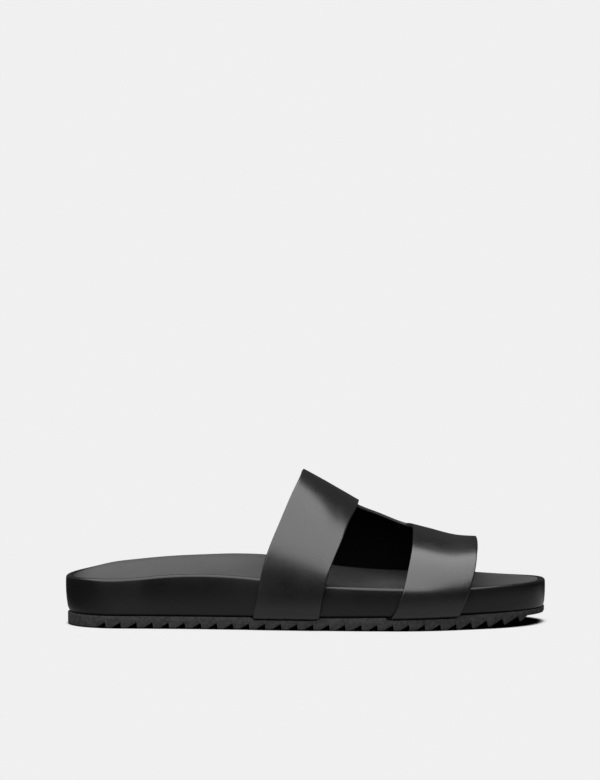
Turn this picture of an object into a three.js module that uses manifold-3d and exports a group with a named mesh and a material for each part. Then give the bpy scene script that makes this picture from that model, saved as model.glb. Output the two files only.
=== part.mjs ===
// A slide sandal for the right foot: ribbed rubber outsole, leather-covered footbed,
// leather insole and an upper of two wide instep bands joined by a closed inner side.
// Millimetres. +X runs to the toe, +Y to the inner (medial) side, +Z up from the floor.
import * as THREE from "three";
import { mergeVertices } from "three/addons/utils/BufferGeometryUtils.js";
import Module from "manifold-3d";

const wasm = await Module();
wasm.setup();

// Driving dimensions
const LENGTH = 286; // heel to toe of the footbed, the longest piece
const BALL_WIDTH = 98; // footbed across the ball of the foot
const INSTEP_HEIGHT = 90; // height of the instep, just under the top of the rear band
const GAP = 0.3; // clearance between pieces that touch
const CUT_OVERRUN = 2; // how far a cut runs past the surface it opens

const SOLE_THICKNESS = 7.2; // outsole with its ribs
const SOLE_SETBACK = 1.2; // outsole edge behind the widest line of the footbed
const SOLE_CHAMFER = 0.8; // lower edge of the outsole
const TOE_SPRING = 5.2; // rise of the underside at the toe tip
const SPRING_START = 0.82; // where the toe spring begins, as a share of LENGTH
const SPRING_CURVE = 1.6; // how suddenly it turns up
const TOP_RISE = 2.2; // rise of the outsole's top at the toe tip, so it thins there
const TOP_RISE_START = 0.5;
const TOP_RISE_CURVE = 1.2;

const RIB_COUNT = 27; // notches along the underside
const RIB_PITCH = 9.5;
const RIB_WIDTH = 6.5; // opening of one notch, the rest of the pitch is a flat
const RIB_DEPTH = 3.5;
const RIB_LEAN = 0.5; // lean of the notch's upright face
const TOE_RIB_WIDTH = 8.7; // the same sizes where the toe springs up
const TOE_RIB_DEPTH = 4.1;
const TOE_RIB_LEAN = 1.3;
const RIB_GROWTH = 0.3; // rise of the underside over which the notches grow to that size
const RIB_FOLLOW = 0.7; // share of the toe spring that the tops of the notches follow
const FIRST_RIB = 24; // front of the first notch, from the back of the heel
const TOE_LIFT = 6.1; // underside over the floor at the toe, beyond the last rib
const TOE_LIFT_START = 271.8; // where it begins, from the back of the heel
const TOE_LIFT_RUN = 3.8; // length of the slope up to it

const FOOTBED_SIDE = 21.5; // height of the footbed's side at the back of the heel
const LOWER_ROUND_IN = 1.4; // rounded lower edge of the footbed, inwards
const LOWER_ROUND_UP = 4; // and upwards
const RIM_ROUND = 1.6; // rounded upper edge of the footbed
const WIDEST_AT = 0.75; // widest line of the side, as a share of its height
const SIDE_FALL = 3; // how fast the side falls away from that line
const RIM_WIDTH = 4; // rim that stands round the insole
const SEAM_DROP = 0.3; // fall of the rim to the insole's edge
const INSOLE_THICKNESS = 2;

const WALL = 2.6; // leather of the bands
const MARGIN_WALL = 1.2; // skived edge that is tucked under the footbed
const MARGIN = 12; // how far it reaches under
const MARGIN_SPLIT = 0.45; // extra row of the margin, as a share of its reach
const RECESS_SLACK = 1.2; // room at each end of the outsole's recess for the margin
const LAYER_SHARE = 2 / 3; // share of the rear band that lies on the panel below it
const LIFT_START = 0.35; // where the rear band begins to rise over it, as a share up the side
const MEDIAL_ADVANCE = 6; // how much further forward the bands land on the medial side

const HEEL_ROUND = 33; // length of the rounded heel end
const HEEL_FULLNESS = 2.1;
const TOE_ROUND = 86; // length of the rounded toe end
const TOE_FULLNESS = 2.35;

// Plan of the footbed: at is a share of LENGTH, the rest are shares of BALL_WIDTH
const PLAN = [
  { at: 0.0, spine: 0.0, lateral: 0.325, medial: 0.32 },
  { at: 0.12, spine: 0.0, lateral: 0.332, medial: 0.327 },
  { at: 0.24, spine: 0.0, lateral: 0.352, medial: 0.332 },
  { at: 0.36, spine: 0.0, lateral: 0.393, medial: 0.337 },
  { at: 0.46, spine: 0.005, lateral: 0.434, medial: 0.372 },
  { at: 0.56, spine: 0.015, lateral: 0.48, medial: 0.429 },
  { at: 0.66, spine: 0.036, lateral: 0.52, medial: 0.465 },
  { at: 0.74, spine: 0.061, lateral: 0.536, medial: 0.46 },
  { at: 0.82, spine: 0.09, lateral: 0.531, medial: 0.425 },
  { at: 1.0, spine: 0.12, lateral: 0.5, medial: 0.37 },
];

// Side of the footbed: at is a share of LENGTH, the rest are shares of FOOTBED_SIDE.
// lateral and medial are the rim's height over the outsole, dish the hollow between the rims,
// and undercut the share of the side's inward fall and the outsole's setback that is left.
const RIM = [
  { at: 0.0, lateral: 1.0, medial: 1.0, dish: 0.4, undercut: 1.0 },
  { at: 0.05, lateral: 1.022, medial: 1.09, dish: 0.4, undercut: 1.0 },
  { at: 0.1, lateral: 1.022, medial: 1.21, dish: 0.4, undercut: 1.0 },
  { at: 0.15, lateral: 1.062, medial: 1.285, dish: 0.4, undercut: 1.0 },
  { at: 0.205, lateral: 1.134, medial: 1.353, dish: 0.38, undercut: 1.0 },
  { at: 0.28, lateral: 1.175, medial: 1.405, dish: 0.34, undercut: 1.0 },
  { at: 0.36, lateral: 1.138, medial: 1.43, dish: 0.3, undercut: 1.0 },
  { at: 0.41, lateral: 1.08, medial: 1.4, dish: 0.26, undercut: 1.0 },
  { at: 0.5, lateral: 0.95, medial: 1.2, dish: 0.2, undercut: 1.0 },
  { at: 0.58, lateral: 0.868, medial: 1.015, dish: 0.18, undercut: 1.0 },
  { at: 0.67, lateral: 0.817, medial: 0.885, dish: 0.16, undercut: 1.0 },
  { at: 0.75, lateral: 0.787, medial: 0.83, dish: 0.14, undercut: 1.0 },
  { at: 0.85, lateral: 0.754, medial: 0.783, dish: 0.12, undercut: 1.0 },
  { at: 0.92, lateral: 0.758, medial: 0.742, dish: 0.12, undercut: 0.75 },
  { at: 1.0, lateral: 0.745, medial: 0.745, dish: 0.1, undercut: 0.45 },
];

// Last under the bands: at is a share of LENGTH, crest the inner height over the floor as a
// share of INSTEP_HEIGHT, ridge the crest's place across as a share of BALL_WIDTH, fullness
// how square the arch is, and lean how many degrees round it the bands leave the rim.
const LAST = [
  { at: 0.36, crest: 1.17, ridge: 0.07, fullness: 2.0, lean: 0.5 },
  { at: 0.42, crest: 1.08, ridge: 0.07, fullness: 2.0, lean: 0.5 },
  { at: 0.494, crest: 0.9545, ridge: 0.07, fullness: 2.0, lean: 1.0 },
  { at: 0.535, crest: 0.88, ridge: 0.09, fullness: 2.02, lean: 2.0 },
  { at: 0.57, crest: 0.8127, ridge: 0.12, fullness: 2.05, lean: 5.0 },
  { at: 0.608, crest: 0.7413, ridge: 0.15, fullness: 2.08, lean: 8.5 },
  { at: 0.655, crest: 0.6822, ridge: 0.18, fullness: 2.15, lean: 12.0 },
  { at: 0.7, crest: 0.6274, ridge: 0.2, fullness: 2.2, lean: 14.0 },
  { at: 0.756, crest: 0.5798, ridge: 0.19, fullness: 2.25, lean: 14.0 },
  { at: 0.815, crest: 0.537, ridge: 0.15, fullness: 2.3, lean: 14.0 },
  { at: 0.854, crest: 0.532, ridge: 0.12, fullness: 2.3, lean: 14.0 },
  { at: 0.9, crest: 0.532, ridge: 0.12, fullness: 2.3, lean: 14.0 },
];

// Cut edges of the bands as seen from the side: at is the height as a share of
// INSTEP_HEIGHT, the rest are shares of LENGTH from the back of the heel.
const EDGES = [
  { at: 0.08, rearBack: 0.388, rearFront: 0.5245, frontBack: 0.667, frontFront: 0.8155 },
  { at: 0.16, rearBack: 0.3935, rearFront: 0.5305, frontBack: 0.6845, frontFront: 0.8212 },
  { at: 0.24, rearBack: 0.399, rearFront: 0.5345, frontBack: 0.6948, frontFront: 0.8308 },
  { at: 0.32, rearBack: 0.4035, rearFront: 0.541, frontBack: 0.7033, frontFront: 0.8414 },
  { at: 0.4, rearBack: 0.4085, rearFront: 0.547, frontBack: 0.7095, frontFront: 0.849 },
  { at: 0.5, rearBack: 0.4166, rearFront: 0.559, frontBack: 0.7165, frontFront: 0.8552 },
  { at: 0.6, rearBack: 0.4281, rearFront: 0.573, frontBack: 0.7217, frontFront: 0.8563 },
  { at: 0.72, rearBack: 0.4443, rearFront: 0.589, frontBack: 0.7245, frontFront: 0.8563 },
  { at: 0.8, rearBack: 0.4551, rearFront: 0.607, frontBack: 0.726, frontFront: 0.8563 },
  { at: 0.9, rearBack: 0.4694, rearFront: 0.622, frontBack: 0.7275, frontFront: 0.8563 },
  { at: 1.0, rearBack: 0.4865, rearFront: 0.637, frontBack: 0.729, frontFront: 0.8563 },
];

// Forward shift of the same edges on the medial side, as shares of MEDIAL_ADVANCE: at is 0
// at the crest, 1 at the footbed's rim and 2 under the footbed.
const SHIFTS = [
  { at: 0.0, rearBack: 0.0, rearFront: 0.0, frontBack: 0.0, frontFront: 0.0 },
  { at: 0.15, rearBack: 0.25, rearFront: 0.15, frontBack: -0.3, frontFront: 0.0 },
  { at: 0.33, rearBack: 0.6, rearFront: 0.4, frontBack: -0.75, frontFront: 0.05 },
  { at: 0.6, rearBack: 0.9, rearFront: 0.75, frontBack: -0.5, frontFront: 0.2 },
  { at: 1.0, rearBack: 1.0, rearFront: 1.0, frontBack: 0.0, frontFront: 0.5 },
  { at: 2.0, rearBack: 1.0, rearFront: 1.0, frontBack: 0.0, frontFront: 1.0 },
];

// Cut edge of the panel beyond the crest, in degrees round the arch from the lateral rim
const PANEL_EDGE_REAR = 96;
const PANEL_EDGE_FRONT = 107;

// Fineness of the meshes
const HEEL_STEPS = 9;
const BODY_STEPS = 17;
const TOE_STEPS = 12;
const ACROSS_STEPS = 8;
const BEND_STEPS = 3;
const SIDE_STEPS = 2;
const ARCH_STEPS = 10;
const REAR_COLUMNS = 6;
const PANEL_COLUMNS = 5;
const FRONT_COLUMNS = 6;
const RECESS_STEPS = 14;
const SETTLE_ROUNDS = 24; // repeats that bring a cut edge to its height
const SETTLE_SHARE = 0.6; // part of each correction that a repeat takes

const LATERAL = -1;
const MEDIAL = 1;
const RIGHT_ANGLE = Math.PI / 2;

const mix = (a, b, share) => a + (b - a) * share;
const clamp = (value) => Math.min(1, Math.max(0, value));
const ease = (share) => share * share * (3 - 2 * share);
const lengthX = (at) => (at - 0.5) * LENGTH;
const shareOf = (x) => x / LENGTH + 0.5;

// Smooth curve through one column of a table, over its first column
function curveOf(table, name) {
  const at = table.map((row) => row.at);
  const value = table.map((row) => row[name]);
  const last = table.length - 1;
  const rise = (i) => (value[i + 1] - value[i]) / (at[i + 1] - at[i]);
  const slope = value.map((_, i) => {
    if (i === 0) return rise(0);
    if (i === last) return rise(last - 1);
    const before = at[i] - at[i - 1];
    const after = at[i + 1] - at[i];
    return (before * rise(i) + after * rise(i - 1)) / (before + after);
  });
  return (place) => {
    if (place <= at[0]) return value[0] + slope[0] * (place - at[0]);
    if (place >= at[last]) return value[last] + slope[last] * (place - at[last]);
    const i = at.findIndex((start) => start > place) - 1;
    const span = at[i + 1] - at[i];
    const t = (place - at[i]) / span;
    const start = (1 + 2 * t) * (1 - t) * (1 - t) * value[i];
    const end = t * t * (3 - 2 * t) * value[i + 1];
    const leave = t * (1 - t) * (1 - t) * span * slope[i];
    const arrive = t * t * (t - 1) * span * slope[i + 1];
    return start + end + leave + arrive;
  };
}

const spineAt = curveOf(PLAN, "spine");
const halfWidthAt = { [LATERAL]: curveOf(PLAN, "lateral"), [MEDIAL]: curveOf(PLAN, "medial") };
const rimAt = { [LATERAL]: curveOf(RIM, "lateral"), [MEDIAL]: curveOf(RIM, "medial") };
const dishAt = curveOf(RIM, "dish");
const undercutAt = curveOf(RIM, "undercut");
const crestAt = curveOf(LAST, "crest");
const ridgeAt = curveOf(LAST, "ridge");
const fullnessAt = curveOf(LAST, "fullness");
const leanAt = curveOf(LAST, "lean");
const EDGE_NAMES = ["rearBack", "rearFront", "frontBack", "frontFront"];
const edgeAt = EDGE_NAMES.map((name) => curveOf(EDGES, name));
const shiftAt = EDGE_NAMES.map((name) => curveOf(SHIFTS, name));

// Plan outline

// How much of the full width is left near the rounded heel and toe ends
function endRound(at) {
  const fromHeel = at * LENGTH;
  const fromToe = (1 - at) * LENGTH;
  const heel = clamp(1 - fromHeel / HEEL_ROUND) ** HEEL_FULLNESS;
  const toe = clamp(1 - fromToe / TOE_ROUND) ** TOE_FULLNESS;
  return (1 - heel) ** (1 / HEEL_FULLNESS) * (1 - toe) ** (1 / TOE_FULLNESS);
}

function outline(at, side) {
  const half = halfWidthAt[side](at) * endRound(at);
  return new THREE.Vector2(lengthX(at), BALL_WIDTH * (spineAt(at) + side * half));
}

// Plan direction that points out of the outline, away from both ends
function outwardAt(at, side) {
  const step = 1e-4;
  const along = outline(at + step, side).sub(outline(at - step, side));
  return new THREE.Vector2(-side * along.y, side * along.x).normalize();
}

// Shares of LENGTH from heel to toe, closer together where the ends turn
function stations() {
  const list = [];
  const heelEnd = HEEL_ROUND / LENGTH;
  const toeStart = 1 - TOE_ROUND / LENGTH;
  for (let i = 0; i < HEEL_STEPS; i++) {
    list.push(heelEnd * (1 - Math.cos((i / HEEL_STEPS) * RIGHT_ANGLE)));
  }
  for (let i = 0; i < BODY_STEPS; i++) list.push(mix(heelEnd, toeStart, i / BODY_STEPS));
  for (let i = 0; i <= TOE_STEPS; i++) {
    list.push(toeStart + (1 - toeStart) * Math.sin((i / TOE_STEPS) * RIGHT_ANGLE));
  }
  return list;
}

// The outline as a loop: heel tip, lateral side, toe tip, medial side
const STATIONS = stations();
const TOE = STATIONS.length - 1;
const LOOP = [];
STATIONS.forEach((at) => LOOP.push({ at, side: LATERAL }));
STATIONS.slice(1, TOE).reverse().forEach((at) => LOOP.push({ at, side: MEDIAL }));
LOOP.forEach((spot) => (spot.place = outline(spot.at, spot.side)));
LOOP.forEach((spot, i) => {
  const next = LOOP[(i + 1) % LOOP.length].place;
  const previous = LOOP[(i + LOOP.length - 1) % LOOP.length].place;
  const along = next.clone().sub(previous);
  spot.outward = new THREE.Vector2(along.y, -along.x).normalize();
});

// A closed ring of points inside the outline by inset(spot), at height(spot)
function ring(inset, height) {
  return LOOP.map((spot) => {
    const flat = spot.place.clone().addScaledVector(spot.outward, -inset(spot));
    return new THREE.Vector3(flat.x, flat.y, height(spot));
  });
}

// Heights

// A height that grows from 0 at a start share to its full value at the toe tip
const riseAt = (at, full, start, curve) => full * clamp((at - start) / (1 - start)) ** curve;
const undersideAt = (at) => riseAt(at, TOE_SPRING, SPRING_START, SPRING_CURVE);
const topRiseAt = (at) => riseAt(at, TOP_RISE, TOP_RISE_START, TOP_RISE_CURVE);
const soleTopAt = (at) => SOLE_THICKNESS + topRiseAt(at);
const footbedBottomAt = (at) => soleTopAt(at) + GAP;
const sideHeightAt = (at, side) => FOOTBED_SIDE * rimAt[side](at);
const rimHeightAt = (at, side) => footbedBottomAt(at) + sideHeightAt(at, side);

// Top of the insole: across runs from 0 at the lateral rim to 1 at the medial rim
function insoleHeight(at, across) {
  const rim = mix(rimHeightAt(at, LATERAL), rimHeightAt(at, MEDIAL), ease(across));
  const hollow = 1 - (2 * across - 1) ** 2;
  return rim - SEAM_DROP - FOOTBED_SIDE * dishAt(at) * endRound(at) * hollow;
}

// Mesh building

class Faces {
  constructor() {
    this.corners = [];
  }
  triangle(a, b, c) {
    for (const p of [a, b, c]) this.corners.push(p.x, p.y, p.z);
  }
  quad(a, b, c, d) {
    this.triangle(a, b, c);
    this.triangle(a, c, d);
  }
  // The skin between two rings, the lower one first
  band(lower, upper) {
    lower.forEach((p, i) => {
      const next = (i + 1) % lower.length;
      this.quad(p, lower[next], upper[next], upper[i]);
    });
  }
  // A lid over a ring, in strips from side to side, with height(at, across) in between
  lid(edge, steps, height, facing) {
    const cross = (i) => {
      const mate = (edge.length - i) % edge.length;
      const line = [];
      for (let k = 0; k <= steps; k++) {
        const p = edge[i].clone().lerp(edge[mate], k / steps);
        if (k > 0 && k < steps) p.z = height(LOOP[i].at, k / steps);
        line.push(p);
      }
      return line;
    };
    const put = (...p) => (facing > 0 ? p : p.reverse());
    for (let i = 0; i < TOE; i++) {
      const here = cross(i);
      const ahead = cross(i + 1);
      for (let k = 0; k < steps; k++) {
        if (i === 0) this.triangle(...put(edge[0], ahead[k], ahead[k + 1]));
        else if (i === TOE - 1) this.triangle(...put(here[k], edge[TOE], here[k + 1]));
        else this.quad(...put(here[k], ahead[k], ahead[k + 1], here[k + 1]));
      }
    }
  }
  geometry() {
    const corners = new THREE.Float32BufferAttribute(this.corners, 3);
    return new THREE.BufferGeometry().setAttribute("position", corners);
  }
}

function toSolid(geometry) {
  const bare = geometry.clone();
  bare.deleteAttribute("normal");
  bare.deleteAttribute("uv");
  const merged = mergeVertices(bare, 1e-4);
  const vertProperties = new Float32Array(merged.attributes.position.array);
  const triVerts = new Uint32Array(merged.index.array);
  return new wasm.Manifold(new wasm.Mesh({ numProp: 3, vertProperties, triVerts }));
}

function fromSolid(solid) {
  const { vertProperties, triVerts } = solid.getMesh();
  const geometry = new THREE.BufferGeometry();
  geometry.setAttribute("position", new THREE.Float32BufferAttribute(vertProperties, 3));
  geometry.setIndex(Array.from(triVerts));
  return geometry;
}

function piece(name, geometry, color, roughness) {
  const shown = geometry.index ? geometry.toNonIndexed() : geometry;
  shown.computeVertexNormals();
  const material = new THREE.MeshStandardMaterial({ color, roughness, metalness: 0 });
  const mesh = new THREE.Mesh(shown, material);
  mesh.name = name;
  return mesh;
}

// Outsole

// A side-view shape, drawn in X and Z, as a prism wider than the sandal
function acrossPrism(shape) {
  const across = 2 * BALL_WIDTH;
  const prism = new THREE.ExtrudeGeometry(shape, { depth: across, bevelEnabled: false });
  return prism.rotateX(RIGHT_ANGLE).translate(0, across / 2, 0);
}

// One notch across the underside: an upright face at the toe side and a sloping roof
function notch(index) {
  const front = lengthX(0) + FIRST_RIB + index * RIB_PITCH;
  const grown = clamp(undersideAt(shareOf(front)) / RIB_GROWTH);
  const back = front - mix(RIB_WIDTH, TOE_RIB_WIDTH, grown);
  const tip = front - mix(RIB_LEAN, TOE_RIB_LEAN, grown);
  const depth = mix(RIB_DEPTH, TOE_RIB_DEPTH, grown);
  const below = CUT_OVERRUN;
  const corners = { back: undersideAt(shareOf(back)), front: undersideAt(shareOf(front)) };
  const top = corners.front * RIB_FOLLOW + depth;
  const roofRun = ((tip - back) * below) / (top - corners.back);
  const faceRun = ((front - tip) * below) / (top - corners.front);
  const shape = new THREE.Shape();
  shape.moveTo(back - roofRun, corners.back - below);
  shape.lineTo(front + faceRun, corners.front - below);
  shape.lineTo(tip, top);
  shape.closePath();
  return acrossPrism(shape);
}

// The underside's step up behind the toe, cut away as far as the tip
function toeLift() {
  const start = lengthX(0) + TOE_LIFT_START;
  const rise = TOE_LIFT - undersideAt(shareOf(start));
  const low = TOE_LIFT - rise - CUT_OVERRUN;
  const tip = lengthX(1) + CUT_OVERRUN;
  const shape = new THREE.Shape();
  shape.moveTo(start - (TOE_LIFT_RUN * CUT_OVERRUN) / rise, low);
  shape.lineTo(tip, low);
  shape.lineTo(tip, TOE_LIFT);
  shape.lineTo(start + TOE_LIFT_RUN, TOE_LIFT);
  shape.closePath();
  return acrossPrism(shape);
}

// Recess in the top of the outsole where the upper's margin lies, from one share to another
function marginRecess(side, from, to) {
  const depth = MARGIN_WALL + GAP;
  const faces = new Faces();
  const section = (share) => {
    const at = mix(from, to, share);
    const place = outline(at, side);
    const outward = outwardAt(at, side);
    const corner = (out, up) => {
      const flat = place.clone().addScaledVector(outward, out);
      return new THREE.Vector3(flat.x, flat.y, soleTopAt(at) + up);
    };
    const reach = -MARGIN - 2 * GAP;
    const loop = [
      corner(CUT_OVERRUN, -depth),
      corner(CUT_OVERRUN, SOLE_THICKNESS),
      corner(reach, SOLE_THICKNESS),
      corner(reach, -depth),
    ];
    return side === LATERAL ? loop : loop.reverse();
  };
  const loops = Array.from({ length: RECESS_STEPS + 1 }, (_, i) => section(i / RECESS_STEPS));
  for (let i = 0; i < RECESS_STEPS; i++) faces.band(loops[i + 1], loops[i]);
  faces.quad(...loops[0]);
  faces.quad(...loops[RECESS_STEPS].slice().reverse());
  return faces.geometry();
}

function outsole() {
  const faces = new Faces();
  const inside = (spot) => SOLE_SETBACK * undercutAt(spot.at);
  const chamfered = (spot) => inside(spot) + SOLE_CHAMFER;
  const bottom = ring(chamfered, (spot) => undersideAt(spot.at));
  const edge = ring(inside, (spot) => undersideAt(spot.at) + SOLE_CHAMFER);
  const top = ring(inside, (spot) => soleTopAt(spot.at));
  faces.band(bottom, edge);
  faces.band(edge, top);
  faces.lid(bottom, 1, undersideAt, -1);
  faces.lid(top, 1, soleTopAt, 1);
  let solid = toSolid(faces.geometry());
  for (let i = 0; i < RIB_COUNT; i++) solid = solid.subtract(toSolid(notch(i)));
  solid = solid.subtract(toSolid(toeLift()));
  const foot = (name) => EDGES[0][name];
  const slack = RECESS_SLACK / LENGTH;
  const advance = MEDIAL_ADVANCE / LENGTH;
  const recesses = [
    marginRecess(LATERAL, foot("rearBack") - slack, foot("rearFront") + slack),
    marginRecess(LATERAL, foot("frontBack") - slack, foot("frontFront") + slack),
    marginRecess(MEDIAL, foot("rearBack") + advance - slack, foot("frontFront") + advance + slack),
  ];
  for (const cut of recesses) solid = solid.subtract(toSolid(cut));
  return piece("outsole", fromSolid(solid), 0x363636, 0.8);
}

// Footbed

// Section of the footbed's side, from underneath up to the rim: each row has its distance
// inside the outline, its rise over the footbed's bottom, and its normal out and up
function sideSection(at, side) {
  const rows = [];
  const height = sideHeightAt(at, side);
  const undercut = undercutAt(at);
  const fall = (rise) => undercut * SIDE_FALL * (rise / height - WIDEST_AT) ** 2;
  const roundIn = undercut * LOWER_ROUND_IN;
  for (let i = 0; i <= BEND_STEPS; i++) {
    const turn = (i / BEND_STEPS) * RIGHT_ANGLE;
    const rise = LOWER_ROUND_UP * (1 - Math.cos(turn));
    const inset = roundIn * (1 - Math.sin(turn)) + fall(rise);
    const normal = new THREE.Vector2(
      Math.sin(turn) * LOWER_ROUND_UP,
      -Math.cos(turn) * roundIn,
    ).normalize();
    rows.push({ inset, rise, out: normal.x, up: normal.y });
  }
  for (let i = 1; i <= SIDE_STEPS; i++) {
    const rise = mix(LOWER_ROUND_UP, height - RIM_ROUND, i / SIDE_STEPS);
    rows.push({ inset: fall(rise), rise, out: 1, up: 0 });
  }
  for (let i = 1; i <= BEND_STEPS; i++) {
    const turn = (i / BEND_STEPS) * RIGHT_ANGLE;
    const rise = height - RIM_ROUND * (1 - Math.sin(turn));
    const inset = RIM_ROUND * (1 - Math.cos(turn)) + fall(rise);
    rows.push({ inset, rise, out: Math.cos(turn), up: Math.sin(turn) });
  }
  return rows;
}

const BAND_ROWS = BEND_STEPS + 1 + SIDE_STEPS; // rows of the side that the bands lie against
const SIDE_ROWS = BAND_ROWS + BEND_STEPS;

function footbed() {
  const faces = new Faces();
  const rowOf = (spot, k) => sideSection(spot.at, spot.side)[k];
  const rings = [];
  for (let k = 0; k < SIDE_ROWS; k++) {
    const inset = (spot) => rowOf(spot, k).inset;
    const height = (spot) => footbedBottomAt(spot.at) + rowOf(spot, k).rise;
    rings.push(ring(inset, height));
  }
  const sunk = INSOLE_THICKNESS + GAP;
  const atRim = () => RIM_WIDTH;
  const edgeHeight = (spot) => insoleHeight(spot.at, spot.side === LATERAL ? 0 : 1);
  rings.push(ring(atRim, edgeHeight));
  rings.push(ring(atRim, (spot) => edgeHeight(spot) - sunk));
  for (let k = 0; k + 1 < rings.length; k++) faces.band(rings[k], rings[k + 1]);
  faces.lid(rings[0], 1, footbedBottomAt, -1);
  const seat = (at, across) => insoleHeight(at, across) - sunk;
  faces.lid(rings[rings.length - 1], ACROSS_STEPS, seat, 1);
  return piece("footbed", faces.geometry(), 0x1e1e1e, 0.55);
}

// Insole

function insole() {
  const faces = new Faces();
  const inset = () => RIM_WIDTH + GAP;
  const edgeHeight = (spot) => insoleHeight(spot.at, spot.side === LATERAL ? 0 : 1);
  const top = ring(inset, edgeHeight);
  const bottom = ring(inset, (spot) => edgeHeight(spot) - INSOLE_THICKNESS);
  const underneath = (at, across) => insoleHeight(at, across) - INSOLE_THICKNESS;
  faces.band(bottom, top);
  faces.lid(top, ACROSS_STEPS, insoleHeight, 1);
  faces.lid(bottom, ACROSS_STEPS, underneath, -1);
  return piece("insole", faces.geometry(), 0x4a4a4a, 0.7);
}

// Upper

// Rows round the girth, from the lateral margin over the crest to the medial margin
function girthRows() {
  const sideRows = (side) => {
    const rows = [1, MARGIN_SPLIT].map((tuck) => ({ side, margin: true, tuck }));
    for (let k = 0; k < BAND_ROWS; k++) rows.push({ side, against: k });
    return rows;
  };
  const arch = [];
  for (let k = 1; k <= ARCH_STEPS; k++) arch.push({ arch: true, beforeEdge: k / ARCH_STEPS });
  for (let k = 1; k < ARCH_STEPS; k++) arch.push({ arch: true, afterEdge: k / ARCH_STEPS });
  return [...sideRows(LATERAL), ...arch, ...sideRows(MEDIAL).reverse()];
}

const GIRTH = girthRows();
const PANEL_ROW = GIRTH.findIndex((row) => row.beforeEdge === 1);

// A point on the inner face against the footbed's side or under it
function besideFootbed(at, row) {
  const section = sideSection(at, row.side);
  const spot = row.margin
    ? { inset: mix(section[0].inset, MARGIN, row.tuck), rise: 0, out: 0, up: -1 }
    : section[row.against];
  const place = outline(at, row.side);
  place.addScaledVector(outwardAt(at, row.side), GAP * spot.out - spot.inset);
  const height = footbedBottomAt(at) + spot.rise + GAP * spot.up;
  return new THREE.Vector3(place.x, place.y, height);
}

// A row's degrees round the arch; forward runs from 0 at the rear band to 1 at the front one
function archDegrees(row, forward) {
  const edge = mix(PANEL_EDGE_REAR, PANEL_EDGE_FRONT, ease(clamp(forward)));
  return row.beforeEdge === undefined ? mix(edge, 180, row.afterEdge) : edge * row.beforeEdge;
}

// Shares of the way out from the crest to the footbed's side, and up from it to the crest
function archShares(at, degrees) {
  const lean = THREE.MathUtils.degToRad(leanAt(at));
  const turn = lean + THREE.MathUtils.degToRad(degrees) * (1 - lean / RIGHT_ANGLE);
  const power = 2 / fullnessAt(at);
  const footUp = Math.sin(lean) ** power;
  return {
    out: (Math.abs(Math.cos(turn)) / Math.cos(lean)) ** power,
    up: (Math.sin(turn) ** power - footUp) / (1 - footUp),
  };
}

// A point on the inner face
function innerFace(at, row, forward) {
  if (!row.arch) return besideFootbed(at, row);
  const degrees = archDegrees(row, forward);
  const { out, up } = archShares(at, degrees);
  const side = degrees < 90 ? LATERAL : MEDIAL;
  const foot = besideFootbed(at, { side, against: BAND_ROWS - 1 });
  return new THREE.Vector3(
    mix(lengthX(at), foot.x, out),
    mix(BALL_WIDTH * ridgeAt(at), foot.y, out),
    mix(foot.z, INSTEP_HEIGHT * crestAt(at), up),
  );
}

// How far a row lies down the medial side: 0 up to the crest, 1 at the rim, 2 underneath
function medialShare(at, row, forward) {
  if (row.side === LATERAL) return 0;
  if (row.margin) return 2;
  if (row.side === MEDIAL) return 2 - row.against / (BAND_ROWS - 1);
  const degrees = archDegrees(row, forward);
  return degrees > 90 ? archShares(at, degrees).out : 0;
}

// Where one of the four cut edges crosses a row, as a share of LENGTH
function edgeCrossing(edge, row, forward) {
  const lowest = EDGES[0];
  const tucked = row.margin || row.against === 0;
  let at = lowest[EDGE_NAMES[edge]];
  for (let i = 0; i < SETTLE_ROUNDS; i++) {
    const top = (innerFace(at, row, forward).z + WALL) / INSTEP_HEIGHT;
    const shift = MEDIAL_ADVANCE * shiftAt[edge](medialShare(at, row, forward));
    at = mix(at, edgeAt[edge](tucked ? lowest.at : top) + shift / LENGTH, SETTLE_SHARE);
  }
  return at;
}

const COLUMNS = [REAR_COLUMNS, PANEL_COLUMNS, FRONT_COLUMNS];
const COLUMN_COUNT = REAR_COLUMNS + PANEL_COLUMNS + FRONT_COLUMNS;
const SINGLE_COLUMNS = Math.round(REAR_COLUMNS * (1 - LAYER_SHARE));

// Inner-face points, one list per row, from the rear band's back edge to the front edge
function innerGrid() {
  return GIRTH.map((row) => {
    const edges = EDGE_NAMES.map((_, e) => edgeCrossing(e, row, e < 2 ? 0 : 1));
    const line = [];
    COLUMNS.forEach((count, zone) => {
      for (let k = 0; k < count; k++) {
        const share = k / count;
        const forward = zone === 1 ? share : zone / 2;
        line.push(innerFace(mix(edges[zone], edges[zone + 1], share), row, forward));
      }
    });
    line.push(innerFace(edges[3], row, 1));
    return line;
  });
}

// How far the rear band is lifted by the panel under it: none on the lateral side, one
// wall from the crest on, and none again where both are skived into the margin
function liftOf(row) {
  if (row.arch) return WALL * ease(clamp(((row.beforeEdge ?? 1) - LIFT_START) / (1 - LIFT_START)));
  if (row.side === LATERAL || row.margin) return 0;
  return WALL * ease(clamp((row.against - 1) / (BAND_ROWS - 1)));
}

function wallOf(row) {
  if (row.arch) return WALL;
  if (row.margin) return MARGIN_WALL;
  return mix(MARGIN_WALL, WALL, clamp(row.against / BEND_STEPS));
}

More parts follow.
